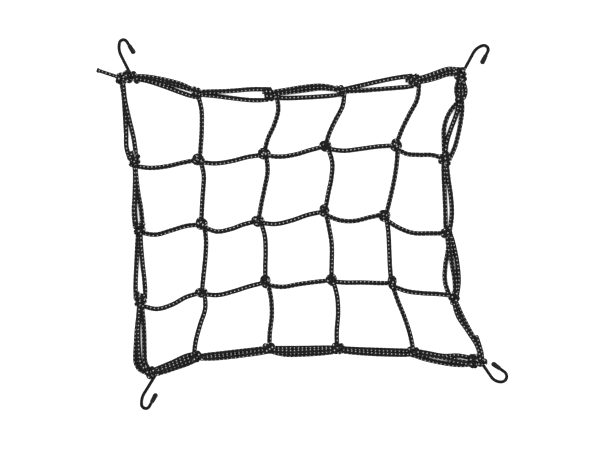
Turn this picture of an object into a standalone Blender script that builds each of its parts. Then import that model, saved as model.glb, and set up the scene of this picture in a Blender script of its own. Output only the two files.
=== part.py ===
"""Elastic cargo net: five by four meshes of knotted 4 mm bungee cord, with four wire hooks.

The net lies flat on z = 0. The origin is under the middle of the whole object's box, +X runs
along the top border to the right and +Y towards the top border. Tables and sizes are in
millimetres; MM turns them into metres when the shapes are made.
"""
import math
from collections import namedtuple

import bmesh
import bpy
from mathutils import Matrix, Vector

MM = 0.001

CORD_DIAMETER = 4.0
CORD_SIDES = 8
TAIL_DIAMETER = 3.3                  # the loose end, where the rubber core has drawn back
FIT_GAP = 0.3                        # between pieces that touch
CUT_GAP = 0.4                        # the same for faceted cutters, whose flats lie closer
LAYER_LIFT = 0.04                    # lifts each next strand of a bundle off the last one's plane

KNOT_HEIGHT = 7.5
KNOT_HALF_HEIGHT = 4.3               # of the whole ellipsoid, whose underside is pressed flat
KNOT_AROUND = 8
KNOT_RINGS = 5

WIRE_DIAMETER = 3.0
WIRE_SIDES = 12
WIRE_STEP = 2.6
SHANK_IN_KNOT = 6.0
SHANK_HEIGHT = 3.6                   # of the wire's centre where it starts inside the knot
BEND_LIFT = 0.35                     # of the bend off the ground, where the thicker tip rests
TIP_DIAMETER = 4.5
TIP_MOUTH_DIAMETER = 4.4
TIP_LENGTH = 9.5
TIP_NOSE = 2.6                       # from the end of the wire to the end of the dipped tip
TIP_STEPS = 12

# Where each knot lies, and its size along X and Y.
Knot = namedtuple("Knot", "x y width depth")
KNOTS = {
    # interior knots, mRC: row from the top, column from the left
    "m11": Knot(-96.6, 60.0, 12.0, 11.5),
    "m12": Knot(-35.4, 65.4, 12.2, 11.3),
    "m13": Knot(21.3, 72.3, 11.8, 10.8),
    "m14": Knot(87.1, 73.4, 11.3, 12.6),
    "m21": Knot(-93.4, 0.6, 11.4, 12.4),
    "m22": Knot(-41.5, 2.5, 12.6, 10.8),
    "m23": Knot(20.3, 12.5, 9.9, 12.1),
    "m24": Knot(76.2, 7.7, 11.7, 11.5),
    "m31": Knot(-93.9, -63.9, 12.5, 9.4),
    "m32": Knot(-34.5, -53.6, 10.2, 12.6),
    "m33": Knot(26.7, -51.8, 10.6, 11.8),
    "m34": Knot(83.3, -54.4, 9.0, 13.4),
    # border knots: top, right, bottom, left
    "t1": Knot(-98.7, 121.5, 10.3, 11.9),
    "t2": Knot(-31.6, 120.7, 10.4, 14.0),
    "t3": Knot(34.4, 123.4, 8.6, 11.7),
    "t4": Knot(102.8, 132.9, 12.6, 12.9),
    "r0": Knot(146.5, 116.5, 10.5, 6.5),
    "r1": Knot(131.7, 60.4, 12.2, 13.0),
    "r2": Knot(133.8, -7.4, 11.2, 10.4),
    "r3": Knot(140.8, -68.9, 10.2, 11.7),
    "b1": Knot(-97.4, -123.0, 12.4, 10.8),
    "b2": Knot(-31.3, -115.6, 11.3, 10.6),
    "b3": Knot(32.9, -115.7, 11.3, 11.0),
    "b4": Knot(102.6, -119.0, 10.4, 10.4),
    "l1": Knot(-156.1, 60.3, 11.4, 14.2),
    "l2": Knot(-151.4, -3.8, 11.8, 11.8),
    "l3": Knot(-150.5, -69.8, 12.0, 13.3),
    # corner knots: each is two lumps, the cord's wrap and the hook's coil inside the cord
    "tl_wrap": Knot(-169.2, 134.7, 9.9, 11.6),
    "tl_coil": Knot(-158.9, 136.5, 15.4, 12.2),
    "tr_wrap": Knot(146.8, 136.8, 12.6, 8.8),
    "tr_coil": Knot(145.6, 140.6, 11.0, 8.6),
    "bl_wrap": Knot(-142.2, -138.0, 9.8, 12.5),
    "bl_coil": Knot(-135.5, -137.0, 7.5, 9.5),
    "br_wrap": Knot(159.1, -127.3, 9.8, 14.0),
    "br_coil": Knot(166.6, -128.4, 9.0, 10.6),
}
CORNER_KNOTS = ("tl", "tr", "bl", "br")

# A strand runs from one knot to another. Its sides say how far it lies to the left of the
# straight line between them, at evenly spaced places from the first knot to the second.
Strand = namedtuple("Strand", "start end sides")

MESH_ROWS = {
    "mesh_row_1": (
        Strand("l1", "m11", (-6.5, -8, -6.5, -3, 0)),
        Strand("m11", "m12", (-2.3, -4.9, -4.1, -1.6, -1)),
        Strand("m12", "m13", (-1.5, -4.5, -4.2, -1.8, 0)),
        Strand("m13", "m14", (-1.8, -4.4, -2.9, -1, -0.3)),
        Strand("m14", "r1", (-2.7, -5, -2.7, 0.5, 0.5)),
    ),
    "mesh_row_2": (
        Strand("l2", "m21", (-4.1, -7.1, -4.3, -1.2, -1)),
        Strand("m21", "m22", (-2.6, -8, -6.4, -2.3, 0.4)),
        Strand("m22", "m23", (-1, -5, -4.2, -1.5, -0.8)),
        Strand("m23", "m24", (-3, -7.5, -7.3, -2.8, 1.8)),
        Strand("m24", "r2", (-2.2, -7.2, -8.7, -5.2, -1.2)),
    ),
    "mesh_row_3": (
        Strand("l3", "m31", (-6.2, -10.7, -8.2, -2.4, 0.1)),
        Strand("m31", "m32", (-1.2, -4.7, -3.7, -1.7, -0.6)),
        Strand("m32", "m33", (-2.8, -5.3, -3.3, -1.7, -0.5)),
        Strand("m33", "m34", (-1.6, -2, -1.3, -1.1, -0.6)),
        Strand("m34", "r3", (-2.7, -4.4, -2.7, 0.2, 2.3)),
    ),
}

MESH_DROPS = {
    "mesh_drop_1_1": Strand("t1", "m11", (1.3, 4.2, 4, 2.7, 1)),
    "mesh_drop_2_1": Strand("m11", "m21", (1.6, 4, 2.5, 0.7, -0.6)),
    "mesh_drop_3_1": Strand("m21", "m31", (1.8, 3.8, 3.2, 1.7, 0.3)),
    "mesh_drop_4_1": Strand("m31", "b1", (3, 4.2, 0.5, -2.6, -3.8)),
    "mesh_drop_1_2": Strand("t2", "m12", (7.6, 10, 7.3, 2.2, -0.4)),
    "mesh_drop_2_2": Strand("m12", "m22", (1.6, 4.5, 3.3, 1.6, 0.4)),
    "mesh_drop_3_2": Strand("m22", "m32", (2.5, 4.7, 3.8, 1.7, 0)),
    "mesh_drop_4_2": Strand("m32", "b2", (2, 4.4, 4.4, 1.8, 0.3)),
    "mesh_drop_1_3": Strand("t3", "m13", (5.1, 6.1, 3.1, 0.6, -0.3)),
    "mesh_drop_2_3": Strand("m13", "m23", (2, 6.6, 6, 3.2, 1)),
    "mesh_drop_3_3": Strand("m23", "m33", (0.9, 2.8, 3.7, 2.1, 0)),
    "mesh_drop_4_3": Strand("m33", "b3", (1.5, 4, 3.3, 0.5, -0.8)),
    "mesh_drop_1_4": Strand("t4", "m14", (6.2, 8, 4.6, 1.5, 0)),
    "mesh_drop_2_4": Strand("m14", "m24", (1.6, 3.3, 3.5, 2.6, 1.4)),
    "mesh_drop_3_4": Strand("m24", "m34", (1.5, 1.9, 0.9, -0.2, -0.8)),
    "mesh_drop_4_4": Strand("m34", "b4", (-0.5, 0.2, 1.8, 2.2, 0.8)),
}

BORDER_STRANDS = {
    "border_top": (
        Strand("tl_coil", "t1", (1, 4, 5, 4.7, 1.7)),
        Strand("tl_coil", "t1", (0.5, 1.8, 2.3, 2.7, 1.8)),
        Strand("tl_coil", "t1", (-0.5, 0.2, -0.9, -2.9, -4.3)),
        Strand("t1", "t2", (1, 1.9, 2.9, 4.4, 4.8)),
        Strand("t1", "t2", (-0.8, -2.1, -4, -5.6, -5.4)),
        Strand("t2", "t3", (1.2, 3.1, 5.1, 5.6, 2.2)),
        Strand("t2", "t3", (0.2, 1, 2.3, 3.5, 1.5)),
        Strand("t2", "t3", (-2.8, -4.3, -4.4, -4.1, -3.5)),
        Strand("t3", "t4", (1, 2.5, 4, 5.1, 5.4)),
        Strand("t3", "t4", (-0.5, -2, -3, -4, -5)),
        Strand("t4", "tr_wrap", (1.2, 3, 5.9, 8.4, 7.2)),
        Strand("t4", "tr_wrap", (0, 1, 3.5, 6, 4.5)),
        Strand("t4", "tr_wrap", (-1.5, -1, 1, 3.5, 2.5)),
    ),
    "border_right": (
        Strand("tr_wrap", "r0", (-1.2, -2.4, -3.4, -3.4, -2.6)),
        Strand("tr_wrap", "r0", (0.5, 0.3, -0.4, 0.2, 0.5)),
        Strand("tr_wrap", "r0", (2, 3, 4.5, 4.9, 3.4)),
        Strand("r0", "r1", (0.6, -6.1, -7.5, -4, 0.3)),
        Strand("r0", "r1", (0, 0.4, -1, -1.7, 0.5)),
        Strand("r0", "r1", (2, 5.3, 6.7, 6.9, 5)),
        Strand("r1", "r2", (-0.5, -0.8, -0.5, -0.4, -0.7)),
        Strand("r1", "r2", (1.5, 3.1, 5.2, 5.7, 3.2)),
        Strand("r2", "r3", (0.5, -0.1, -4.5, -6.4, -3.1)),
        Strand("r2", "r3", (1, 1.3, 1.9, 2.4, 0.8)),
        Strand("r2", "r3", (3.3, 5.7, 6.8, 6.2, 2.8)),
        Strand("r3", "br_coil", (-1, -3.2, -0.4, 2.2, 0.5)),
        Strand("r3", "br_coil", (0.5, 0.5, 1.6, 2.8, 1)),
    ),
    "border_bottom": (
        Strand("bl_wrap", "b1", (0.5, 1.4, 2.3, 3.7, 2)),
        Strand("bl_wrap", "b1", (-0.8, -1.1, -0.9, 0, 0.3)),
        Strand("bl_wrap", "b1", (-1, -3.6, -3.8, -3.7, -2.8)),
        Strand("b1", "b2", (0.2, 0.3, 0.4, 0.4, 0.5)),
        Strand("b1", "b2", (-0.8, -1.6, -1.7, -1.5, -1.2)),
        Strand("b1", "b2", (-2, -3.5, -3.7, -3.4, -3)),
        Strand("b2", "b3", (0.2, 0.3, 0.4, 0.7, 0.7)),
        Strand("b2", "b3", (-1.5, -2.8, -2.5, -1.9, -1)),
        Strand("b2", "b3", (-2.5, -5.9, -5.7, -4.7, -2.8)),
        Strand("b3", "b4", (0.2, 0.2, 0.4, 0.7, 1)),
        Strand("b3", "b4", (-2, -3, -3.3, -3, -2.4)),
        Strand("b4", "br_wrap", (1.5, 1, 0.5, 2.8, 2)),
        Strand("b4", "br_wrap", (0, -0.3, -0.8, -2, -2.2)),
        Strand("b4", "br_wrap", (-3, -5.1, -6, -5.8, -3.6)),
    ),
    "border_left": (
        Strand("tl_wrap", "l1", (0, 0, -1, -2.4, -3.8, -5.6, -4.6)),
        Strand("tl_wrap", "l1", (3, 0.8, 1.5, 2.4, 1.8)),
        Strand("l1", "l2", (0, -0.8, -2.3, -4.3, -4.5)),
        Strand("l1", "l2", (0, 0, -1.5, -3, -2.5)),
        Strand("l1", "l2", (0.5, 0.5, 1.3, 2.6, 3)),
        Strand("l2", "l3", (-1.2, -2.5, -3.5, -4.5, -4.8)),
        Strand("l2", "l3", (0.8, 1.2, 2.2, 3.8, 4.6)),
    ),
}

# The strands that turn the bottom left corner, by points, from knot l3 to the corner knot.
CORNER_TURN = (
    ((-151.5, -71), (-152.6, -85), (-154.1, -99), (-155, -114), (-155.4, -126.8), (-151.9, -134.8),
     (-143, -139.6)),
    ((-151, -70), (-151.7, -85), (-152.4, -99), (-152, -114), (-150.7, -128), (-147, -134),
     (-141, -137)),
    ((-149.8, -71), (-148.3, -85), (-147.4, -99), (-147, -114), (-146.5, -127), (-144, -133),
     (-140.5, -136)),
)

# A cut end of cord that runs up from the bottom right corner and lies on the right border.
CUT_END = ((160.9, -103.2), (164.0, -112.5), (166.2, -120.5), (167.2, -127.5))

BORDER_KNOTS = {
    "border_top": ("t1", "t2", "t3", "t4"),
    "border_right": ("r0", "r1", "r2", "r3"),
    "border_bottom": ("b1", "b2", "b3", "b4"),
    "border_left": ("l1", "l2", "l3"),
}

CORD_TAIL = ((-190.95, 143.1), (-186.3, 141.7), (-182.0, 140.2), (-177.3, 138.7), (-170.0, 136.2))

# A hook leaves its knot at (x, y) with a straight shank, then bends with a wide and a tight
# radius and ends in a straight run inside its dipped tip. Angles are in degrees, and turn is
# +1 for a bend to the left and -1 for one to the right.
Hook = namedtuple("Hook", "x y heading shank wide_radius wide_angle tight_radius tight_angle run turn")
HOOKS = {
    "tl": Hook(-161.5, 142.5, 117.0, 15.8, 18.0, 39.0, 3.75, 136.0, 11.0, -1),
    "tr": Hook(149.8, 142.5, 61.5, 18.7, 14.5, 46.5, 4.0, 132.0, 10.6, -1),
    "bl": Hook(-136.9, -140.9, -122.0, 19.2, 17.5, 37.0, 3.9, 146.0, 11.4, 1),
    "br": Hook(167.8, -131.0, -55.2, 13.5, 11.2, 56.0, 5.2, 143.5, 12.1, 1),
}


def make_material(name, colour, roughness, metallic=0.0):
    """A Principled material of one colour."""
    material = bpy.data.materials.new(name)
    material.use_nodes = True
    shader = material.node_tree.nodes["Principled BSDF"]
    shader.inputs["Base Color"].default_value = (*colour, 1.0)
    shader.inputs["Roughness"].default_value = roughness
    shader.inputs["Metallic"].default_value = metallic
    return material


def evaluated_mesh(obj):
    """A new mesh of the object as its modifiers and its bevel leave it."""
    graph = bpy.context.evaluated_depsgraph_get()
    return bpy.data.meshes.new_from_object(obj.evaluated_get(graph))


def tidy_mesh(mesh, merge_distance):
    """Weld points that coincide and turn all faces outwards."""
    bm = bmesh.new()
    bm.from_mesh(mesh)
    bmesh.ops.remove_doubles(bm, verts=bm.verts, dist=merge_distance * MM)
    bmesh.ops.dissolve_degenerate(bm, edges=bm.edges, dist=merge_distance * MM)
    bmesh.ops.recalc_face_normals(bm, faces=bm.faces)
    bm.to_mesh(mesh)
    bm.free()


def drop_offcuts(mesh):
    """Delete every loose scrap that a cut left, and keep the largest body."""
    bm = bmesh.new()
    bm.from_mesh(mesh)
    unseen = set(bm.verts)
    bodies = []
    while unseen:
        body = {unseen.pop()}
        edge_of_body = list(body)
        while edge_of_body:
            near = {edge.other_vert(vert) for vert in edge_of_body for edge in vert.link_edges}
            edge_of_body = list(near - body)
            body |= near
        unseen -= body
        bodies.append(body)
    bodies.sort(key=len)
    for body in bodies[:-1]:
        bmesh.ops.delete(bm, geom=list(body), context="VERTS")
    bm.to_mesh(mesh)
    bm.free()


def mesh_object(name, mesh, collection):
    """An object for a mesh, in the collection."""
    obj = bpy.data.objects.new(name, mesh)
    collection.objects.link(obj)
    return obj


def strand_points(strand, height):
    """The strand's own points, at one height above the ground."""
    start = Vector((KNOTS[strand.start].x, KNOTS[strand.start].y, height))
    end = Vector((KNOTS[strand.end].x, KNOTS[strand.end].y, height))
    along = (end - start).normalized()
    left = Vector((-along.y, along.x, 0))
    last = len(strand.sides) - 1
    return [start.lerp(end, k / last) + side * left for k, side in enumerate(strand.sides)]


def flat_points(points, height):
    """Plan points raised to a height."""
    return [Vector((x, y, height)) for x, y in points]


def tube(name, points, diameter, sides, collection):
    """A closed round tube as a mesh object, of the same area as the round cord."""
    curve = bpy.data.curves.new(name, "CURVE")
    curve.dimensions = "3D"
    curve.twist_mode = "Z_UP"
    curve.bevel_depth = tube_radius(diameter, sides) * MM
    curve.bevel_resolution = (sides - 4) // 2
    curve.use_fill_caps = True
    spline = curve.splines.new("POLY")
    spline.points.add(len(points) - 1)
    for spline_point, point in zip(spline.points, points):
        spline_point.co = (*(point * MM), 1.0)
        spline_point.tilt = math.pi / sides          # turns a facet, not an edge, to the ground
    guide = bpy.data.objects.new(name, curve)
    collection.objects.link(guide)
    mesh = evaluated_mesh(guide)
    bpy.data.objects.remove(guide)
    tidy_mesh(mesh, 0.01)
    return mesh_object(name, mesh, collection)


def tube_radius(diameter, sides):
    """The corner radius of a polygon with the area of a round of that diameter."""
    return diameter / 2 * math.sqrt(2 * math.pi / sides / math.sin(2 * math.pi / sides))


def rest_height(diameter, sides):
    """The height of a tube's centre when a facet of it lies on the ground."""
    return tube_radius(diameter, sides) * math.cos(math.pi / sides)


def knot_lump(name, knot, collection, grow=0.0):
    """A pressed ball for one knot. Grown, it is the cutter that keeps other pieces off it."""
    bm = bmesh.new()
    bmesh.ops.create_uvsphere(bm, u_segments=KNOT_AROUND, v_segments=KNOT_RINGS, radius=1.0)
    size = Vector((knot.width / 2 + grow, knot.depth / 2 + grow, KNOT_HALF_HEIGHT + grow))
    bmesh.ops.scale(bm, verts=bm.verts, vec=size * MM)
    centre = Vector((knot.x, knot.y, KNOT_HEIGHT - KNOT_HALF_HEIGHT))
    bmesh.ops.translate(bm, verts=bm.verts, vec=centre * MM)
    if not grow:
        for vert in bm.verts:
            vert.co.z = max(vert.co.z, 0.0)
    mesh = bpy.data.meshes.new(name)
    bm.to_mesh(mesh)
    bm.free()
    return mesh_object(name, mesh, collection)


def combine(name, solids, cutters, parts, helpers, material):
    """Unite the solids into one node, and cut the cutters out of it."""
    body = solids[0]
    for operation, tools in (("UNION", solids[1:]), ("DIFFERENCE", cutters)):
        if not tools:
            continue
        group = bpy.data.collections.new(name + "_" + operation.lower())
        helpers.children.link(group)
        for tool in tools:
            group.objects.link(tool)
        modifier = body.modifiers.new(operation.lower(), "BOOLEAN")
        modifier.operation = operation
        modifier.operand_type = "COLLECTION"
        modifier.collection = group
        modifier.solver = "EXACT"
    mesh = evaluated_mesh(body)
    for used in (*solids, *cutters):
        bpy.data.objects.remove(used)
    tidy_mesh(mesh, 0.01)
    drop_offcuts(mesh)
    node = mesh_object(name, mesh, parts)
    mesh.materials.clear()
    mesh.materials.append(material)
    mesh.shade_smooth()
    mesh.set_sharp_from_angle(angle=math.radians(50))
    return node


def cord_solids(name, strands, helpers, grow=0.0):
    """A tube for each strand, each a hair higher than the one before it."""
    solids = []
    for k, points in enumerate(strands):
        lift = Vector((0, 0, LAYER_LIFT * (1 + k % 3)))
        route = [point + lift for point in points]
        solids.append(tube(f"{name}_strand_{k}", route, CORD_DIAMETER + 2 * grow, CORD_SIDES, helpers))
    return solids


def clearances(knot_names, helpers):
    """Cutters that keep a cord's end off the knots that it meets."""
    return [knot_lump("clear_" + knot, KNOTS[knot], helpers, CUT_GAP) for knot in knot_names]


def strand_clearances(knot_names, tables, helpers):
    """Cutters that keep a cord's end off the other cords that meet in its knots."""
    height = rest_height(CORD_DIAMETER, CORD_SIDES)
    near = [strand_points(strand, height) for table in tables for strands in table.values()
            for strand in strands if {strand.start, strand.end} & set(knot_names)]
    if "l3" in knot_names:
        near += [flat_points(points, height) for points in CORNER_TURN]
    return cord_solids("clear", near, helpers, CUT_GAP)


def make_mesh_rows(parts, helpers, material):
    """The three cords that run across the net, each with the four knots on it."""
    height = rest_height(CORD_DIAMETER, CORD_SIDES)
    for name, strands in MESH_ROWS.items():
        solids = cord_solids(name, [strand_points(strand, height) for strand in strands], helpers)
        knots = [strand.end for strand in strands[:-1]]
        solids += [knot_lump(name + "_" + knot, KNOTS[knot], helpers) for knot in knots]
        ends = (strands[0].start, strands[-1].end)
        cutters = clearances(ends, helpers) + strand_clearances(ends, [BORDER_STRANDS], helpers)
        combine(name, solids, cutters, parts, helpers, material)


def make_mesh_drops(parts, helpers, material):
    """The sixteen lengths of cord that run down the net between the knots."""
    height = rest_height(CORD_DIAMETER, CORD_SIDES)
    for name, strand in MESH_DROPS.items():
        solids = cord_solids(name, [strand_points(strand, height)], helpers)
        ends = (strand.start, strand.end)
        cutters = clearances(ends, helpers)
        cutters += strand_clearances(ends, [MESH_ROWS, BORDER_STRANDS], helpers)
        combine(name, solids, cutters, parts, helpers, material)


def make_borders(parts, helpers, material):
    """The four sides: bundles of two or three strands, with the knots on them."""
    height = rest_height(CORD_DIAMETER, CORD_SIDES)
    corner_lumps = [knot for knot in KNOTS if knot.endswith(("_wrap", "_coil"))]
    for name, strands in BORDER_STRANDS.items():
        routes = [strand_points(strand, height) for strand in strands]
        if name == "border_left":
            routes += [flat_points(points, height) for points in CORNER_TURN]
        if name == "border_right":
            routes.append(flat_points(CUT_END, height + CORD_DIAMETER / 3))
        solids = cord_solids(name, routes, helpers)
        solids += [knot_lump(name + "_" + knot, KNOTS[knot], helpers) for knot in BORDER_KNOTS[name]]
        reached = {end for strand in strands for end in (strand.start, strand.end)}
        corners = {knot[:2] for knot in reached if knot in corner_lumps}
        if name == "border_left":
            corners.add("bl")
        near = [knot for knot in corner_lumps if knot[:2] in corners]
        combine(name, solids, clearances(near, helpers), parts, helpers, material)


def hook_plan(hook):
    """Plan points of a hook's centre line, from inside the knot to the end of the wire."""
    heading = math.radians(hook.heading)
    point = Vector((hook.x, hook.y, 0)) - SHANK_IN_KNOT * direction(heading)
    points = [point]
    point = point + (SHANK_IN_KNOT + hook.shank) * direction(heading)
    points.append(point)
    for radius, angle in ((hook.wide_radius, hook.wide_angle), (hook.tight_radius, hook.tight_angle)):
        count = max(3, math.ceil(radius * math.radians(angle) / WIRE_STEP))
        centre = point + radius * direction(heading + hook.turn * math.pi / 2)
        for k in range(1, count + 1):
            turned = heading + hook.turn * math.radians(angle) * k / count
            points.append(centre - radius * direction(turned + hook.turn * math.pi / 2))
        heading += hook.turn * math.radians(angle)
        point = points[-1]
    points.append(point + hook.run * direction(heading))
    return points


def direction(angle):
    """The unit vector in the plan at an angle from +X."""
    return Vector((math.cos(angle), math.sin(angle), 0))


def hook_points(hook):
    """The hook's centre line, leaning from its knot down to the bend, which lies on the ground."""
    plan = hook_plan(hook)
    reach = [(point - plan[0]).dot(direction(math.radians(hook.heading))) for point in plan]
    fall = SHANK_HEIGHT - rest_height(WIRE_DIAMETER, WIRE_SIDES) - BEND_LIFT
    slope = fall / max(reach)
    return [point + Vector((0, 0, SHANK_HEIGHT - slope * r)) for point, r in zip(plan, reach)]


def make_tip(name, points, parts, helpers, material):
    """The dipped tip: a turned cap, a little thicker at its nose, bored for the wire."""
    bore = WIRE_DIAMETER / 2 + FIT_GAP
    nose = TIP_DIAMETER / 2
    profile = [(0, -TIP_NOSE + FIT_GAP), (bore, -TIP_NOSE + FIT_GAP), (bore, -TIP_LENGTH),
               (TIP_MOUTH_DIAMETER / 2, -TIP_LENGTH), (nose, -nose)]
    profile += [(nose * math.cos(math.radians(a)), nose * (math.sin(math.radians(a)) - 1))
                for a in (30, 60)]
    profile.append((0, 0))
    bm = bmesh.new()
    verts = [bm.verts.new(Vector((r, 0, z)) * MM) for r, z in reversed(profile)]
    for a, b in zip(verts, verts[1:]):
        bm.edges.new((a, b))
    mesh = bpy.data.meshes.new(name + "_profile")
    bm.to_mesh(mesh)
    bm.free()
    turned = mesh_object(name + "_profile", mesh, helpers)
    screw = turned.modifiers.new("turn", "SCREW")
    screw.steps = TIP_STEPS
    screw.render_steps = TIP_STEPS
    screw.use_merge_vertices = True
    screw.merge_threshold = 0.00001
    solid = evaluated_mesh(turned)
    bpy.data.objects.remove(turned)
    tidy_mesh(solid, 0.01)
    run = (points[-1] - points[-2]).normalized()
    end = points[-1] + TIP_NOSE * run
    solid.transform(Matrix.Translation(end * MM) @ run.to_track_quat("Z", "Y").to_matrix().to_4x4())
    tip = mesh_object(name, solid, parts)
    solid.materials.append(material)
    solid.shade_smooth()
    solid.set_sharp_from_angle(angle=math.radians(50))
    return tip


def make_hook(corner, parts, helpers, wire, dip):
    """A wire hook and its dipped tip."""
    points = hook_points(HOOKS[corner])
    solid = tube("wire_" + corner, points, WIRE_DIAMETER, WIRE_SIDES, helpers)
    combine("hook_" + corner, [solid], [], parts, helpers, wire)
    make_tip("hook_tip_" + corner, points, parts, helpers, dip)


def make_corner_knot(corner, parts, helpers, material):
    """A corner knot of two lumps, bored where the hook's shank goes in."""
    lumps = [knot_lump(f"{corner}_{kind}", KNOTS[f"{corner}_{kind}"], helpers)
             for kind in ("wrap", "coil")]
    points = hook_points(HOOKS[corner])
    along = (points[1] - points[0]).normalized()
    route = [points[0] - FIT_GAP * along, points[0] + (SHANK_IN_KNOT + CORD_DIAMETER) * along]
    bore = tube("bore_" + corner, route, WIRE_DIAMETER + 2 * FIT_GAP, WIRE_SIDES, helpers)
    combine("corner_knot_" + corner, lumps, [bore], parts, helpers, material)


def make_tail(parts, helpers, material):
    """The loose end of cord at the top left corner."""
    height = rest_height(TAIL_DIAMETER, CORD_SIDES) + LAYER_LIFT
    solid = tube("tail", flat_points(CORD_TAIL, height), TAIL_DIAMETER, CORD_SIDES, helpers)
    combine("cord_tail", [solid], clearances(("tl_wrap",), helpers), parts, helpers, material)


def main():
    """Build the whole net."""
    for obj in list(bpy.data.objects):
        bpy.data.objects.remove(obj)
    parts = bpy.data.collections.new("cargo_net")
    helpers = bpy.data.collections.new("helpers")
    for collection in (parts, helpers):
        bpy.context.scene.collection.children.link(collection)

    cord = make_material("braided_cord", (0.02, 0.02, 0.021), 0.85)
    wire = make_material("black_wire", (0.012, 0.012, 0.012), 0.3, 0.4)
    dip = make_material("dipped_vinyl", (0.03, 0.03, 0.031), 0.7)

    make_mesh_rows(parts, helpers, cord)
    make_mesh_drops(parts, helpers, cord)
    make_borders(parts, helpers, cord)
    for corner in CORNER_KNOTS:
        make_corner_knot(corner, parts, helpers, cord)
        make_hook(corner, parts, helpers, wire, dip)
    make_tail(parts, helpers, cord)
    for group in list(helpers.children):
        bpy.data.collections.remove(group)
    bpy.data.collections.remove(helpers)


main()
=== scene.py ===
"""The looks of the elastic cargo net: braided cord with white picks, wound knots, wire hooks.

Routes and sizes are in millimetres, in the part's own frame, and repeat the tables that its
solids were made from. MM turns them into metres when a mesh is made.
"""
import math
from collections import namedtuple

import bpy
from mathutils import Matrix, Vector

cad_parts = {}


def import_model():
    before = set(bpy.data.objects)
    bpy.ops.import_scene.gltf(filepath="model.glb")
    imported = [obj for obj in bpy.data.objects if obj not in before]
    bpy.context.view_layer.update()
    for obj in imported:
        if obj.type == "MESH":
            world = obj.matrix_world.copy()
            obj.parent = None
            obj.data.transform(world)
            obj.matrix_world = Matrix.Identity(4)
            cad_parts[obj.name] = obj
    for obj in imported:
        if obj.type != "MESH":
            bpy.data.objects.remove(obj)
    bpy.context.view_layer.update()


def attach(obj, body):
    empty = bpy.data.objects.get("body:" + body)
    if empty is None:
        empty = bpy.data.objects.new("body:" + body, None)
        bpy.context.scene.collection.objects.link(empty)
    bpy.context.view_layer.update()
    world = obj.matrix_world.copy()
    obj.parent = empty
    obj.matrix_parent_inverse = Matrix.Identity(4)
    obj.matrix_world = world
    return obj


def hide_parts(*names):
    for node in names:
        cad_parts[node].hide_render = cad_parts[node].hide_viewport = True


MM = 0.001
UP = Vector((0, 0, 1))

# Cord
CORD_RADIUS = 2.3
CORD_SIDES = 16
CORD_STEP = 1.1                # spacing of the rings along a cord
TRACER_PITCH = 3.7             # from one white pick to the next in its row
SQUEEZE = 0.84                 # share of its radius that a cord keeps inside a knot
SQUEEZE_LENGTH = 7.0           # over which it swells again outside the knot
STACK_LIMIT = 5.0              # highest centre of a strand that lies on others
KNOT_CORE = 4.0                # height at which cords pass through a knot
KNOT_RISE = 1.9                # how far a knot's turns rise and fall about KNOT_CORE
ROW_TURN = 0.25                # of a turn, from one row of picks to the next
PICK_DRIFT = 0.012             # of a turn, how far a row may drift between two picks
TAIL_RADIUS = 1.8              # of the loose end, whose core has drawn back
TAIL_FLARE = (2.3, 2.4, 2.2, 2.0)  # radii of its first rings, at the cut
CUT_END_HEIGHT = 5.52          # of the cut end that lies on the border

# Wire
WIRE_RADIUS = 1.6
WIRE_SIDES = 24
WIRE_STEP = 0.6
SHANK_IN_KNOT = 6.0
SHANK_HEIGHT = 3.6
BEND_HEIGHT = 2.3
TIP_LENGTH = 9.5
TIP_NOSE = 2.6
TIP_MOUTH_RADIUS = 2.1
TIP_RADIUS = 2.5

# Camera and light
VIEW_CENTRE = (-2.3, -0.9)
VIEW_WIDTH = 558.0
LENS = 85.0
SENSOR = 36.0

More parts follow.
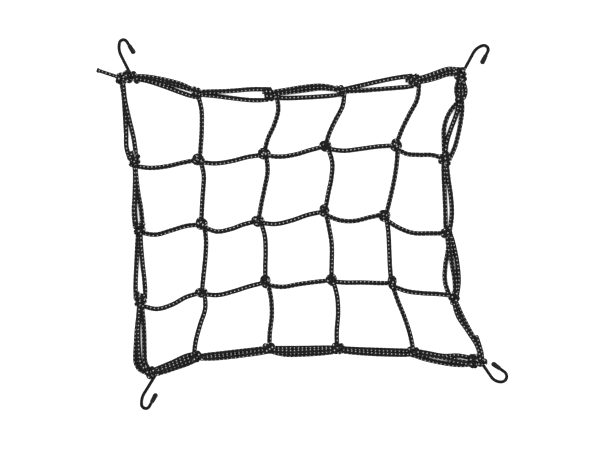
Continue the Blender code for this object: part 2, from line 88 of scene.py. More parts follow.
# Knots: place, size along X and Y, the way its turns face in degrees, and how many it has.
# An interior knot has three lobes and faces its first lobe; any other one is wound round
# the cords that run along its facing.
Knot = namedtuple("Knot", "x y width depth facing winds")
KNOTS = {
    "m11": Knot(-96.6, 60.0, 12.0, 11.5, -5, 0),
    "m12": Knot(-35.4, 65.4, 12.2, 11.3, 5, 0),
    "m13": Knot(21.3, 72.3, 11.8, 10.8, 25, 0),
    "m14": Knot(87.1, 73.4, 11.3, 12.6, -15, 0),
    "m21": Knot(-93.4, 0.6, 11.4, 12.4, 0, 0),
    "m22": Knot(-41.5, 2.5, 12.6, 10.8, 30, 0),
    "m23": Knot(20.3, 12.5, 9.9, 12.1, -5, 0),
    "m24": Knot(76.2, 7.7, 11.7, 11.5, 10, 0),
    "m31": Knot(-93.9, -63.9, 12.5, 9.4, 30, 0),
    "m32": Knot(-34.5, -53.6, 10.2, 12.6, 30, 0),
    "m33": Knot(26.7, -51.8, 10.6, 11.8, 45, 0),
    "m34": Knot(83.3, -54.4, 9.0, 13.4, 30, 0),
    "t1": Knot(-98.7, 121.5, 10.3, 11.9, -18, 2),
    "t2": Knot(-31.6, 120.7, 10.4, 14.0, 0, 2),
    "t3": Knot(34.4, 123.4, 8.6, 11.7, 8, 1.5),
    "t4": Knot(102.8, 132.9, 12.6, 12.9, 14, 2.5),
    "r0": Knot(146.5, 116.5, 10.5, 6.5, -92, 1),
    "r1": Knot(131.7, 60.4, 12.2, 13.0, -88, 2.5),
    "r2": Knot(133.8, -7.4, 11.2, 10.4, 96, 2),
    "r3": Knot(140.8, -68.9, 10.2, 11.7, -70, 2),
    "b1": Knot(-97.4, -123.0, 12.4, 10.8, 16, 2),
    "b2": Knot(-31.3, -115.6, 11.3, 10.6, 2, 2.5),
    "b3": Knot(32.9, -115.7, 11.3, 11.0, -2, 2.5),
    "b4": Knot(102.6, -119.0, 10.4, 10.4, -4, 1.5),
    "l1": Knot(-156.1, 60.3, 11.4, 14.2, 92, 2.5),
    "l2": Knot(-151.4, -3.8, 11.8, 11.8, -88, 2),
    "l3": Knot(-150.5, -69.8, 12.0, 13.3, 92, 2.5),
    "tl_wrap": Knot(-168.9, 134.4, 9.9, 11.6, -50, 1.5),
    "tl_coil": Knot(-158.9, 136.5, 15.4, 12.2, -5, 2),
    "tr_wrap": Knot(146.8, 136.8, 12.6, 8.8, -85, 1.5),
    "tr_coil": Knot(145.6, 140.6, 11.0, 8.6, 20, 1.5),
    "bl_wrap": Knot(-142.2, -138.0, 9.8, 12.5, 0, 1.5),
    "bl_coil": Knot(-135.5, -137.0, 7.5, 9.5, 20, 1),
    "br_wrap": Knot(159.1, -127.3, 9.8, 14.0, 0, 2.5),
    "br_coil": Knot(166.3, -128.3, 8.6, 10.2, -30, 1.5),
}
CORNERS = ("tl", "tr", "bl", "br")

# A strand runs from one knot to another. Its sides say how far it lies to the left of the
# straight line between them, at evenly spaced places from the first knot to the second.
Strand = namedtuple("Strand", "start end sides")

ROWS = {
    "mesh_row_1": (
        Strand("l1", "m11", (-6.5, -8, -6.5, -3, 0)),
        Strand("m11", "m12", (-2.3, -4.9, -4.1, -1.6, -1)),
        Strand("m12", "m13", (-1.5, -4.5, -4.2, -1.8, 0)),
        Strand("m13", "m14", (-1.8, -4.4, -2.9, -1, -0.3)),
        Strand("m14", "r1", (-2.7, -5, -2.7, 0.5, 0.5)),
    ),
    "mesh_row_2": (
        Strand("l2", "m21", (-4.1, -7.1, -4.3, -1.2, -1)),
        Strand("m21", "m22", (-2.6, -8, -6.4, -2.3, 0.4)),
        Strand("m22", "m23", (-1, -5, -4.2, -1.5, -0.8)),
        Strand("m23", "m24", (-3, -7.5, -7.3, -2.8, 1.8)),
        Strand("m24", "r2", (-2.2, -7.2, -8.7, -5.2, -1.2)),
    ),
    "mesh_row_3": (
        Strand("l3", "m31", (-6.2, -10.7, -8.2, -2.4, 0.1)),
        Strand("m31", "m32", (-1.2, -4.7, -3.7, -1.7, -0.6)),
        Strand("m32", "m33", (-2.8, -5.3, -3.3, -1.7, -0.5)),
        Strand("m33", "m34", (-1.6, -2, -1.3, -1.1, -0.6)),
        Strand("m34", "r3", (-2.7, -4.4, -2.7, 0.2, 2.3)),
    ),
}

DROPS = {
    "mesh_drop_1_1": Strand("t1", "m11", (1.3, 4.2, 4, 2.7, 1)),
    "mesh_drop_2_1": Strand("m11", "m21", (1.6, 4, 2.5, 0.7, -0.6)),
    "mesh_drop_3_1": Strand("m21", "m31", (1.8, 3.8, 3.2, 1.7, 0.3)),
    "mesh_drop_4_1": Strand("m31", "b1", (3, 4.2, 0.5, -2.6, -3.8)),
    "mesh_drop_1_2": Strand("t2", "m12", (7.6, 10, 7.3, 2.2, -0.4)),
    "mesh_drop_2_2": Strand("m12", "m22", (1.6, 4.5, 3.3, 1.6, 0.4)),
    "mesh_drop_3_2": Strand("m22", "m32", (2.5, 4.7, 3.8, 1.7, 0)),
    "mesh_drop_4_2": Strand("m32", "b2", (2, 4.4, 4.4, 1.8, 0.3)),
    "mesh_drop_1_3": Strand("t3", "m13", (5.1, 6.1, 3.1, 0.6, -0.3)),
    "mesh_drop_2_3": Strand("m13", "m23", (2, 6.6, 6, 3.2, 1)),
    "mesh_drop_3_3": Strand("m23", "m33", (0.9, 2.8, 3.7, 2.1, 0)),
    "mesh_drop_4_3": Strand("m33", "b3", (1.5, 4, 3.3, 0.5, -0.8)),
    "mesh_drop_1_4": Strand("t4", "m14", (6.2, 8, 4.6, 1.5, 0)),
    "mesh_drop_2_4": Strand("m14", "m24", (1.6, 3.3, 3.5, 2.6, 1.4)),
    "mesh_drop_3_4": Strand("m24", "m34", (1.5, 1.9, 0.9, -0.2, -0.8)),
    "mesh_drop_4_4": Strand("m34", "b4", (-0.5, 0.2, 1.8, 2.2, 0.8)),
}

BORDERS = {
    "border_top": (
        Strand("tl_coil", "t1", (-0.5, 0.2, -0.9, -2.6, -4.0)),
        Strand("tl_coil", "t1", (0.5, 1.8, 2.3, 2.7, 1.8)),
        Strand("tl_coil", "t1", (1, 4, 5, 4.7, 1.7)),
        Strand("t1", "t2", (-0.8, -2.1, -4, -5.6, -5.4)),
        Strand("t1", "t2", (1, 1.9, 2.9, 4.4, 4.8)),
        Strand("t2", "t3", (-2.8, -4.3, -4.4, -4.1, -3.5)),
        Strand("t2", "t3", (0.2, 1, 2.3, 3.5, 1.5)),
        Strand("t2", "t3", (1.2, 3.1, 5.1, 5.6, 2.2)),
        Strand("t3", "t4", (1, 2.5, 4, 5.1, 5.4)),
        Strand("t3", "t4", (-0.5, -2, -3, -4, -5)),
        Strand("t4", "tr_wrap", (1.2, 3, 5.9, 8.4, 7.2)),
        Strand("t4", "tr_wrap", (-1.5, -1, 1, 3.5, 2.5)),
        Strand("t4", "tr_wrap", (0, 1, 3.5, 6, 4.5)),
    ),
    "border_right": (
        Strand("tr_wrap", "r0", (-1.2, -2.4, -3.4, -3.4, -2.6)),
        Strand("tr_wrap", "r0", (2, 3, 4.5, 4.9, 3.4)),
        Strand("tr_wrap", "r0", (0.5, 0.3, -0.4, 0.2, 0.5)),
        Strand("r0", "r1", (0.6, -6.1, -7.5, -4, 0.3)),
        Strand("r0", "r1", (0, 0.4, -1, -1.7, 0.5)),
        Strand("r0", "r1", (2, 5.3, 6.7, 6.9, 5)),
        Strand("r1", "r2", (-0.5, -0.8, -0.5, -0.4, -0.7)),
        Strand("r1", "r2", (1.5, 3.1, 5.2, 5.7, 3.2)),
        Strand("r2", "r3", (0.5, -0.1, -4.5, -6.4, -3.1)),
        Strand("r2", "r3", (3.3, 5.7, 6.8, 6.2, 2.8)),
        Strand("r2", "r3", (1, 1.3, 1.9, 2.4, 0.8)),
        Strand("r3", "br_coil", (0.5, 0.5, 1.6, 2.8, 1)),
        Strand("r3", "br_coil", (-1, -3.2, -0.4, 2.2, 0.5)),
    ),
    "border_bottom": (
        Strand("bl_wrap", "b1", (0.5, 1.4, 2.3, 3.7, 3.4)),
        Strand("bl_wrap", "b1", (-1, -3.6, -3.8, -3.7, -2.8)),
        Strand("bl_wrap", "b1", (-0.8, -1.1, -0.9, 0, 0.3)),
        Strand("b1", "b2", (0.2, 0.3, 0.4, 0.4, 0.5)),
        Strand("b1", "b2", (-2, -3.5, -3.7, -3.4, -3)),
        Strand("b2", "b3", (0.2, 0.3, 0.4, 0.7, 0.7)),
        Strand("b2", "b3", (-2.5, -5.9, -5.7, -4.7, -2.8)),
        Strand("b2", "b3", (-1.5, -2.8, -2.5, -1.9, -1)),
        Strand("b3", "b4", (0.2, 0.2, 0.4, 0.7, 1)),
        Strand("b3", "b4", (-2, -3, -3.3, -3, -2.4)),
        Strand("b4", "br_wrap", (1.5, 1, 0.5, 2.8, 2)),
        Strand("b4", "br_wrap", (-3, -5.1, -6, -5.8, -3.6)),
        Strand("b4", "br_wrap", (0, -0.3, -0.8, -2, -2.2)),
    ),
    "border_left": (
        Strand("tl_wrap", "l1", (0, 0, -1, -2.4, -3.8, -5.6, -4.6)),
        Strand("tl_wrap", "l1", (2.2, 0.8, 1.5, 2.4, 1.8)),
        Strand("l1", "l2", (0, -0.8, -2.3, -4.3, -4.5)),
        Strand("l1", "l2", (0.5, 0.5, 1.3, 2.6, 3)),
        Strand("l1", "l2", (0, 0, -1.5, -3, -2.5)),
        Strand("l2", "l3", (-1.2, -2.5, -3.5, -4.5, -4.8)),
        Strand("l2", "l3", (0.8, 1.2, 2.2, 3.8, 4.6)),
    ),
}

# The strands that turn the bottom left corner, from knot l3 to the corner knot.
CORNER_TURN = (
    ((-151.5, -71), (-152.6, -85), (-154.1, -99), (-155, -114), (-155.4, -126.8), (-151.9, -134.8),
     (-143, -139.6)),
    ((-149.8, -71), (-148.3, -85), (-147.4, -99), (-147, -114), (-146.5, -127), (-144, -133),
     (-140.5, -136)),
    ((-151, -70), (-151.7, -85), (-152.4, -99), (-152, -114), (-150.7, -128), (-147, -134),
     (-141, -137)),
)

# A cut end of cord that lies on the right border, up from the bottom right corner.
CUT_END = ((167.2, -127.5), (166.2, -120.5), (164.0, -112.5), (160.9, -103.2))
# The loose end at the top left corner, from its cut to the knot.
CORD_TAIL = ((-190.95, 143.1), (-186.3, 141.7), (-182.0, 140.2), (-177.3, 138.7), (-170.0, 136.2))

BORDER_KNOTS = {
    "border_top": ("t1", "t2", "t3", "t4"),
    "border_right": ("r0", "r1", "r2", "r3"),
    "border_bottom": ("b1", "b2", "b3", "b4"),
    "border_left": ("l1", "l2", "l3"),
}

# A hook leaves its knot at (x, y) with a straight shank, then bends with a wide and a tight
# radius and ends in a straight run inside its dipped tip. Turn is +1 for a bend to the left.
Hook = namedtuple("Hook", "x y heading shank wide_radius wide_angle "
                          "tight_radius tight_angle run turn")
HOOKS = {
    "tl": Hook(-161.5, 142.5, 117.0, 15.8, 18.0, 39.0, 3.75, 136.0, 11.0, -1),
    "tr": Hook(149.8, 142.5, 61.5, 18.7, 14.5, 46.5, 4.0, 132.0, 10.6, -1),
    "bl": Hook(-136.9, -140.9, -122.0, 19.2, 17.5, 37.0, 3.9, 146.0, 11.4, 1),
    "br": Hook(167.8, -131.0, -55.2, 13.5, 11.2, 56.0, 5.2, 143.5, 12.1, 1),
}


# Curves

def smooth_curve(points, step):
    """Points about a step apart on a Catmull-Rom curve through the given points."""
    ends = [2 * points[0] - points[1], *points, 2 * points[-1] - points[-2]]
    route = [points[0]]
    for before, a, b, after in zip(ends, ends[1:], ends[2:], ends[3:]):
        count = max(1, round((b - a).length / step))
        for k in range(1, count + 1):
            t = k / count
            route.append(0.5 * (2 * a + (b - before) * t
                                + (2 * before - 5 * a + 4 * b - after) * t**2
                                + (3 * a - before - 3 * b + after) * t**3))
    return route


def lengths_along(route):
    """The length from the route's start to each of its points."""
    lengths = [0.0]
    for a, b in zip(route, route[1:]):
        lengths.append(lengths[-1] + (b - a).length)
    return lengths


def direction(angle):
    """The unit vector in the plan at an angle in degrees from +X."""
    return Vector((math.cos(math.radians(angle)), math.sin(math.radians(angle)), 0))


def flat_points(points, height):
    """Plan points raised to a height."""
    return [Vector((x, y, height)) for x, y in points]


def strand_points(strand):
    """The strand's own points, on the ground's cord height."""
    start, end = (Vector((KNOTS[k].x, KNOTS[k].y, CORD_RADIUS)) for k in (strand.start, strand.end))
    along = (end - start).normalized()
    left = UP.cross(along)
    last = len(strand.sides) - 1
    return [start.lerp(end, k / last) + side * left for k, side in enumerate(strand.sides)]


def ease(x):
    """0 to 1 with a smooth start and end."""
    x = min(max(x, 0.0), 1.0)
    return x * x * (3 - 2 * x)


def lift_over(route, lower_routes):
    """Raise a route where it lies closer to lower ones than a cord's thickness."""
    heights = []
    for point in route:
        height = point.z
        for lower in lower_routes:
            nearest = min(lower, key=lambda p: (p.xy - point.xy).length_squared)
            apart = (nearest.xy - point.xy).length
            if apart < 2 * CORD_RADIUS:
                over = nearest.z + math.sqrt(4 * CORD_RADIUS**2 - apart**2)
                height = max(height, min(over, STACK_LIMIT))
        heights.append(height)
    reach = 6
    for k, point in enumerate(route):
        window = heights[max(0, k - reach):k + reach + 1]
        point.z = sum(window) / len(window)
    return route


def into_knots(route, at_start=True, at_end=True):
    """Bring the route's ends to the height at which cords pass through a knot."""
    lengths = lengths_along(route)
    for point, length in zip(route, lengths):
        near = [length] * at_start + [lengths[-1] - length] * at_end
        share = 1 - ease(min(near) / SQUEEZE_LENGTH) if near else 0
        point.z += (KNOT_CORE - point.z) * share
    return route


def cord_radii(route, at_start=True, at_end=True):
    """The cord's radius along a route: less inside the knots that pinch it."""
    lengths = lengths_along(route)
    radii = []
    for length in lengths:
        near = [length] * at_start + [lengths[-1] - length] * at_end
        share = ease((min(near) - 2) / SQUEEZE_LENGTH) if near else 1
        radii.append(CORD_RADIUS * (SQUEEZE + (1 - SQUEEZE) * share))
    return radii


def lobed_knot(knot):
    """The turns of an interior knot: three lobes that pass over and under each other."""
    core, lobe = 2.4, 1.2
    steps = 96
    turns = []
    for k in range(steps):
        t = 2 * math.pi * k / steps
        out = core + lobe * math.cos(3 * t)
        turns.append(out * direction(knot.facing + math.degrees(2 * t)) + UP * math.sin(3 * t))
    route = []
    for turn in turns:
        place = Vector((knot.x, knot.y, KNOT_CORE + 0.2 + KNOT_RISE * turn.z))
        for axis, size in enumerate((knot.width, knot.depth)):
            low, high = (pick(turn[axis] for turn in turns) for pick in (min, max))
            place[axis] += (size / 2 - CORD_RADIUS) * (2 * turn[axis] - low - high) / (high - low)
        route.append(place)
    return route


def wound_knot(knot):
    """The turns of a knot that is wound round the cords which run along its facing."""
    along = direction(knot.facing)
    across = UP.cross(along)
    share = abs(along.x)
    length = knot.width * share + knot.depth * (1 - share)
    breadth = knot.depth * share + knot.width * (1 - share)
    travel = (length - 2 * CORD_RADIUS) * knot.winds / (knot.winds - 0.5)
    steps = round(40 * knot.winds)
    route = []
    for k in range(steps + 1):
        turned = 2 * math.pi * knot.winds * k / steps - math.pi / 2
        route.append(Vector((knot.x, knot.y, KNOT_CORE + 0.2)) + along * travel * (k / steps - 0.5)
                     + across * (breadth / 2 - CORD_RADIUS) * math.cos(turned)
                     + UP * KNOT_RISE * math.sin(turned))
    return route


# Meshes

class Skin:
    """Gathers tubes into the mesh of one piece. U goes once round a tube; V counts tracer picks."""

    def __init__(self):
        self.points = []
        self.faces = []
        self.uvs = []
        self.slots = []

    def tube(self, route, radii, sides=CORD_SIDES, roll=0.0, twist=0.0, end_slot=0):
        """A closed tube along the route, whose rows of picks start at roll and drift by twist."""
        normal = None
        first = len(self.points)
        lengths = lengths_along(route)
        for k, (point, radius) in enumerate(zip(route, radii)):
            ahead, behind = route[min(k + 1, len(route) - 1)], route[max(k - 1, 0)]
            tangent = (ahead - behind).normalized()
            if normal is None:
                normal = UP - tangent * UP.dot(tangent)
                if normal.length < 0.1:
                    normal = Vector((1, 0, 0)) - tangent * tangent.x
            normal = (normal - tangent * normal.dot(tangent)).normalized()
            side = tangent.cross(normal)
            for s in range(sides):
                angle = 2 * math.pi * s / sides
                outward = math.cos(angle) * normal + math.sin(angle) * side
                self.points.append(point + radius * outward)
        for k in range(len(route) - 1):
            low, high = lengths[k] / TRACER_PITCH, lengths[k + 1] / TRACER_PITCH
            for s in range(sides):
                a = first + k * sides + s
                b = first + k * sides + (s + 1) % sides
                self.faces.append((a, b, b + sides, a + sides))
                u0, u1 = s / sides + roll, (s + 1) / sides + roll
                self.uvs += [(u0 + twist * low, low), (u1 + twist * low, low),
                             (u1 + twist * high, high), (u0 + twist * high, high)]
                self.slots.append(0)
        for ring, turn in ((0, -1), (len(route) - 1, 1)):
            loop = [first + ring * sides + s for s in range(sides)][::turn]
            self.faces.append(tuple(loop))
            self.uvs += [(0.125, 0.5)] * sides
            self.slots.append(end_slot)

    def piece(self, name, node, materials):
        """Make the object, which stands for the CAD node."""
        mesh = bpy.data.meshes.new(name)
        mesh.from_pydata([point * MM for point in self.points], [], self.faces)
        layer = mesh.uv_layers.new(name="cord")
        layer.data.foreach_set("uv", [x for uv in self.uvs for x in uv])
        mesh.polygons.foreach_set("material_index", self.slots)
        for material in materials:
            mesh.materials.append(material)
        mesh.shade_smooth()
        mesh.set_sharp_from_angle(angle=math.radians(60))
        obj = bpy.data.objects.new(name, mesh)
        bpy.context.scene.collection.objects.link(obj)
        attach(obj, "root")
        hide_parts(node)
        return obj


def spread(number):
    """A fixed fraction for each whole number, which looks like chance."""
    return (number * 0.618034) % 1.0


# Materials

class Nodes:
    """Shorthand for building one material's node tree."""

    def __init__(self, name):
        self.material = bpy.data.materials.new(name)
        self.material.use_nodes = True
        self.tree = self.material.node_tree
        self.shader = self.tree.nodes["Principled BSDF"]

    def link(self, source, target):
        """Join an output to an input, or set the input to a number."""
        if isinstance(source, (int, float)):
            target.default_value = source
        else:
            self.tree.links.new(source, target)

    def math(self, operation, a, b=0.0, c=0.0):
        """A Math node's output."""
        node = self.tree.nodes.new("ShaderNodeMath")
        node.operation = operation
        for value, socket in zip((a, b, c), node.inputs):
            self.link(value, socket)
        return node.outputs[0]

    def ramp(self, value, low, high):
        """0 below low, 1 above high, smooth between."""
        node = self.tree.nodes.new("ShaderNodeMapRange")
        node.interpolation_type = "SMOOTHSTEP"
        self.link(value, node.inputs["Value"])
        node.inputs["From Min"].default_value = low
        node.inputs["From Max"].default_value = high
        return node.outputs["Result"]

    def blend(self, share, a, b):
        """A colour between a and b."""
        node = self.tree.nodes.new("ShaderNodeMix")
        node.data_type = "RGBA"
        self.link(share, node.inputs["Factor"])
        for colour, socket in ((a, node.inputs["A"]), (b, node.inputs["B"])):
            if isinstance(colour, tuple):
                socket.default_value = (*colour, 1.0)
            else:
                self.tree.links.new(colour, socket)
        return node.outputs["Result"]

    def noise(self, scale, detail=2.0):
        """Noise in the object's own space."""
        place = self.tree.nodes.new("ShaderNodeTexCoord")
        node = self.tree.nodes.new("ShaderNodeTexNoise")
        node.inputs["Scale"].default_value = scale
        node.inputs["Detail"].default_value = detail
        self.tree.links.new(place.outputs["Object"], node.inputs["Vector"])
        return node.outputs["Fac"]

    def bump(self, height, strength, distance):
        """Bump the shader by a height."""
        node = self.tree.nodes.new("ShaderNodeBump")
        node.inputs["Strength"].default_value = strength
        node.inputs["Distance"].default_value = distance * MM
        self.link(height, node.inputs["Height"])
        self.tree.links.new(node.outputs["Normal"], self.shader.inputs["Normal"])


def braid_material():
    """Black braid of crossing yarns, with four rows of white picks along the cord, and painted
    shade in the grooves between the yarns.
    """
    n = Nodes("braided_cord")
    uv = n.tree.nodes.new("ShaderNodeUVMap")
    uv.uv_map = "cord"
    split = n.tree.nodes.new("ShaderNodeSeparateXYZ")
    n.tree.links.new(uv.outputs["UV"], split.inputs["Vector"])
    around, along = split.outputs["X"], split.outputs["Y"]

    # Two families of yarns, each over the other in turn.
    yarns, crossings = 8.0, 2.0
    right = n.math("MULTIPLY_ADD", around, yarns, n.math("MULTIPLY", along, crossings))
    left = n.math("MULTIPLY_ADD", around, yarns, n.math("MULTIPLY", along, -crossings))
    over = n.math("PINGPONG", n.math("ADD", n.math("FLOOR", right), n.math("FLOOR", left)), 1.0)
    arch_right = n.math("ABSOLUTE", n.math("SINE", n.math("MULTIPLY", right, math.pi)))
    arch_left = n.math("ABSOLUTE", n.math("SINE", n.math("MULTIPLY", left, math.pi)))
    height = n.math("ADD", n.math("MULTIPLY", arch_right, over),
                    n.math("MULTIPLY", arch_left, n.math("SUBTRACT", 1.0, over)))
    fibres = n.math("SINE", n.math("MULTIPLY", n.math("ADD", right, left), 9 * math.pi))
    groove = n.ramp(height, 0.05, 0.75)

    # White picks: oval spots, four rows round the cord.
    row = n.math("SUBTRACT", n.math("FRACT", n.math("MULTIPLY", around, 4.0)), 0.5)
    pick = n.math("SUBTRACT", n.math("FRACT", along), 0.5)
    wide, long = 0.15, 0.13
    spot = n.math("SQRT", n.math("ADD", n.math("POWER", n.math("DIVIDE", row, wide), 2.0),
                                 n.math("POWER", n.math("DIVIDE", pick, long), 2.0)))
    white = n.math("SUBTRACT", 1.0, n.ramp(spot, 0.75, 1.05))

    mottle = n.ramp(n.noise(900.0), 0.3, 0.7)
    # The grooves between the yarns are painted near-black (0.003): painted shade in the braid's
    # recesses, not a darker yarn.
    dark = n.blend(groove, (0.003, 0.003, 0.003), n.blend(mottle, (0.010, 0.010, 0.010),
                                                          (0.021, 0.021, 0.0215)))
    n.tree.links.new(n.blend(white, dark, (0.62, 0.62, 0.61)), n.shader.inputs["Base Color"])
    relief = n.math("ADD", n.math("MULTIPLY_ADD", fibres, 0.08, groove),
                    n.math("MULTIPLY", white, 0.4))
    n.bump(relief, 0.6, 0.35)
    n.shader.inputs["Roughness"].default_value = 0.8
    n.shader.inputs["Specular IOR Level"].default_value = 0.01
    return n.material


def core_material():
    """The rubber strands that show where a cord is cut, with painted shade in the gaps between
    them.
    """
    n = Nodes("cut_core")
    strands = n.tree.nodes.new("ShaderNodeTexVoronoi")
    strands.inputs["Scale"].default_value = 1500.0
    place = n.tree.nodes.new("ShaderNodeTexCoord")
    n.tree.links.new(place.outputs["Object"], strands.inputs["Vector"])
    # Darker away from each strand's middle: painted shade in the gaps between the strands.
    gap_shade = n.ramp(strands.outputs["Distance"], 0.2, 0.6)
    n.tree.links.new(n.blend(gap_shade, (0.05, 0.05, 0.048), (0.01, 0.01, 0.01)),
                     n.shader.inputs["Base Color"])
    n.shader.inputs["Roughness"].default_value = 0.8
    return n.material


def wire_material():
    """Gloss black coating on wire, a little uneven, worn grey in places."""
    n = Nodes("black_wire")
    wear = n.ramp(n.noise(260.0, 4.0), 0.62, 0.75)
    n.tree.links.new(n.blend(wear, (0.005, 0.005, 0.0052), (0.025, 0.025, 0.025)),
                     n.shader.inputs["Base Color"])
    n.link(n.math("MULTIPLY_ADD", n.noise(500.0), 0.2, 0.22), n.shader.inputs["Roughness"])
    n.shader.inputs["Specular IOR Level"].default_value = 0.06
    n.bump(n.noise(700.0), 0.15, 0.15)
    return n.material


def dip_material():
    """Matt vinyl dip."""
    n = Nodes("dipped_vinyl")
    n.tree.links.new(n.blend(n.noise(300.0), (0.008, 0.008, 0.008), (0.018, 0.018, 0.018)),
                     n.shader.inputs["Base Color"])
    n.shader.inputs["Roughness"].default_value = 0.55
    n.shader.inputs["Specular IOR Level"].default_value = 0.03
    n.bump(n.noise(900.0), 0.2, 0.15)
    return n.material


# Pieces

def make_rows(cord):
    """The three cords across the net, with the interior knots."""
    count = 0
    for name, strands in ROWS.items():
        skin = Skin()
        for strand in strands:
            count += 1
            route = into_knots(smooth_curve(strand_points(strand), CORD_STEP))
            skin.tube(route, cord_radii(route), roll=spread(count) * ROW_TURN,
                      twist=PICK_DRIFT * (spread(count + 7) - 0.5))
        for strand in strands[:-1]:
            count += 1
            route = lobed_knot(KNOTS[strand.end])
            skin.tube(route, [CORD_RADIUS] * len(route), roll=spread(count) * ROW_TURN)
        skin.piece(name + "_cord", name, cord)


def make_drops(cord):
    """The cords that run down the net."""
    for count, (name, strand) in enumerate(DROPS.items()):
        skin = Skin()
        route = into_knots(smooth_curve(strand_points(strand), CORD_STEP))
        skin.tube(route, cord_radii(route), roll=spread(count + 40) * ROW_TURN,
                  twist=PICK_DRIFT * (spread(count + 3) - 0.5))
        skin.piece(name + "_cord", name, cord)


def make_borders(cord):
    """The four sides with the knots wound round them."""
    count = 100
    for name, strands in BORDERS.items():
        skin = Skin()
        bundles = {}
        for strand in strands:
            route = smooth_curve(strand_points(strand), CORD_STEP)
            bundles.setdefault((strand.start, strand.end), []).append(route)
        if name == "border_left":
            bundles["corner"] = [smooth_curve(flat_points(points, CORD_RADIUS), CORD_STEP)
                                 for points in CORNER_TURN]
        for routes in bundles.values():
            for k, route in enumerate(routes):
                lift_over(route, routes[:k])
            for route in routes:
                count += 1
                into_knots(route)
                skin.tube(route, cord_radii(route), roll=spread(count) * ROW_TURN,
                          twist=PICK_DRIFT * (spread(count + 5) - 0.5))
        if name == "border_right":
            route = smooth_curve(flat_points(CUT_END, CUT_END_HEIGHT), CORD_STEP)
            skin.tube(route, cut_radii(cord_radii(route, at_end=False)), end_slot=1, roll=0.1)
        for knot in BORDER_KNOTS[name]:
            count += 1
            route = wound_knot(KNOTS[knot])
            skin.tube(route, [CORD_RADIUS] * len(route), roll=spread(count) * ROW_TURN)
        skin.piece(name + "_cord", name, cord)


def cut_radii(radii):
    """Round the last ring a little, where the cord was cut."""
    radii[-2:] = [0.97 * radii[-2], 0.85 * radii[-1]]
    return radii


def make_corner(corner, cord, wire, dip):
    """A corner knot, its hook and the hook's tip."""
    skin = Skin()
    for count, kind in enumerate(("wrap", "coil")):
        route = wound_knot(KNOTS[f"{corner}_{kind}"])
        skin.tube(route, [CORD_RADIUS] * len(route), roll=spread(count + 11) * ROW_TURN)
    skin.piece(f"corner_{corner}_cord", f"corner_knot_{corner}", cord)

    hook = HOOKS[corner]
    route = hook_route(hook)
    skin = Skin()
    skin.tube(route, [WIRE_RADIUS] * len(route), sides=WIRE_SIDES)
    skin.piece(f"wire_{corner}", f"hook_{corner}", [wire])

    run = (route[-1] - route[-2]).normalized()
    end = route[-1] + TIP_NOSE * run
    steps = 36
    skin = Skin()
    centres, radii = [], []
    for k in range(steps + 1):
        back = TIP_LENGTH * (1 - k / steps) ** 1.6
        body = TIP_MOUTH_RADIUS + (TIP_RADIUS - TIP_MOUTH_RADIUS) * ease(1 - back / TIP_LENGTH)
        nose = math.sqrt(max(0.0, 1 - max(0.0, 1 - back / TIP_RADIUS) ** 2))
        lip = min(1.0, 0.9 + 0.1 * (TIP_LENGTH - back) / 0.5)
        centres.append(end - back * run)
        radii.append(max(0.05, body * nose * lip))
    skin.tube(centres, radii, sides=WIRE_SIDES)
    skin.piece(f"dip_{corner}", f"hook_tip_{corner}", [dip])


def hook_route(hook):
    """The hook's centre line, which leans from its knot down to the bend on the ground."""
    heading = hook.heading
    point = Vector((hook.x, hook.y, 0)) - SHANK_IN_KNOT * direction(heading)
    route = straight(point, heading, SHANK_IN_KNOT + hook.shank)
    for radius, angle in ((hook.wide_radius, hook.wide_angle),
                          (hook.tight_radius, hook.tight_angle)):
        count = math.ceil(radius * math.radians(angle) / WIRE_STEP)
        centre = route[-1] + radius * direction(heading + 90 * hook.turn)
        for k in range(1, count + 1):
            turned = heading + hook.turn * angle * k / count
            route.append(centre - radius * direction(turned + 90 * hook.turn))
        heading += hook.turn * angle
    route += straight(route[-1], heading, hook.run)[1:]
    reach = [(p - route[0]).dot(direction(hook.heading)) for p in route]
    slope = (SHANK_HEIGHT - BEND_HEIGHT) / max(reach)
    return [p + UP * (SHANK_HEIGHT - slope * r) for p, r in zip(route, reach)]


def straight(start, heading, length):
    """Points along a straight run."""
    count = math.ceil(length / WIRE_STEP)
    return [start + direction(heading) * length * k / count for k in range(count + 1)]


def make_tail(cord):
    """The loose end, whose core has drawn back and left the braid uneven."""
    route = smooth_curve(flat_points(CORD_TAIL, TAIL_RADIUS - 0.05), 0.7)
    into_knots(route, at_start=False)
    radii = [TAIL_RADIUS + 0.18 * math.sin(2.1 * k) * math.sin(0.7 * k + 1)
             for k in range(len(route))]
    radii[:len(TAIL_FLARE)] = TAIL_FLARE
    route = [Vector((p.x, p.y, max(p.z, radius))) for p, radius in zip(route, radii)]
    skin = Skin()
    skin.tube(route, radii, end_slot=1, roll=0.12)
    skin.piece("tail_cord", "cord_tail", cord)


# Set

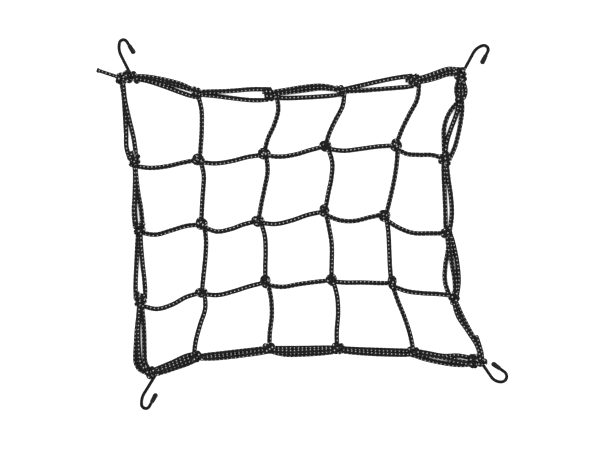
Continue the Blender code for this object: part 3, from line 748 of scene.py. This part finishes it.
def make_set():
    """White floor, soft light and the camera straight above."""
    floor = bpy.data.meshes.new("floor")
    half = 3.0
    floor.from_pydata([(-half, -half, 0), (half, -half, 0), (half, half, 0), (-half, half, 0)], [],
                      [(0, 1, 2, 3)])
    white = Nodes("white_floor")
    white.shader.inputs["Base Color"].default_value = (0.93, 0.93, 0.93, 1.0)
    white.shader.inputs["Roughness"].default_value = 0.9
    white.shader.inputs["Specular IOR Level"].default_value = 0.1
    white.shader.inputs["Emission Color"].default_value = (1.0, 1.0, 1.0, 1.0)
    white.shader.inputs["Emission Strength"].default_value = 0.6
    floor.materials.append(white.material)
    ground = bpy.data.objects.new("floor", floor)
    bpy.context.scene.collection.objects.link(ground)

    world = bpy.data.worlds.new("studio")
    world.use_nodes = True
    world.node_tree.nodes["Background"].inputs["Color"].default_value = (1.0, 1.0, 1.0, 1.0)
    world.node_tree.nodes["Background"].inputs["Strength"].default_value = 0.95
    bpy.context.scene.world = world

    for name, place, size, power in (("key_light", (-0.9, 0.9, 1.9), 1.2, 22.0),
                                     ("fill_light", (1.1, -0.7, 1.7), 1.5, 12.0)):
        light = bpy.data.lights.new(name, "AREA")
        light.size = size
        light.energy = power
        lamp = bpy.data.objects.new(name, light)
        lamp.location = place
        lamp.rotation_euler = (-Vector(place)).to_track_quat("-Z", "Y").to_euler()
        bpy.context.scene.collection.objects.link(lamp)

    data = bpy.data.cameras.new("camera")
    data.lens = LENS
    data.sensor_width = SENSOR
    camera = bpy.data.objects.new("camera", data)
    camera.location = Vector((*VIEW_CENTRE, VIEW_WIDTH * LENS / SENSOR + CORD_RADIUS)) * MM
    bpy.context.scene.collection.objects.link(camera)
    bpy.context.scene.camera = camera
    bpy.context.scene.view_settings.view_transform = "Standard"


def main():
    """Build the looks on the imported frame."""
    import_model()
    make_set()
    cord = [braid_material(), core_material()]
    wire, dip = wire_material(), dip_material()
    make_rows(cord)
    make_drops(cord)
    make_borders(cord)
    for corner in CORNERS:
        make_corner(corner, cord, wire, dip)
    make_tail(cord)


main()
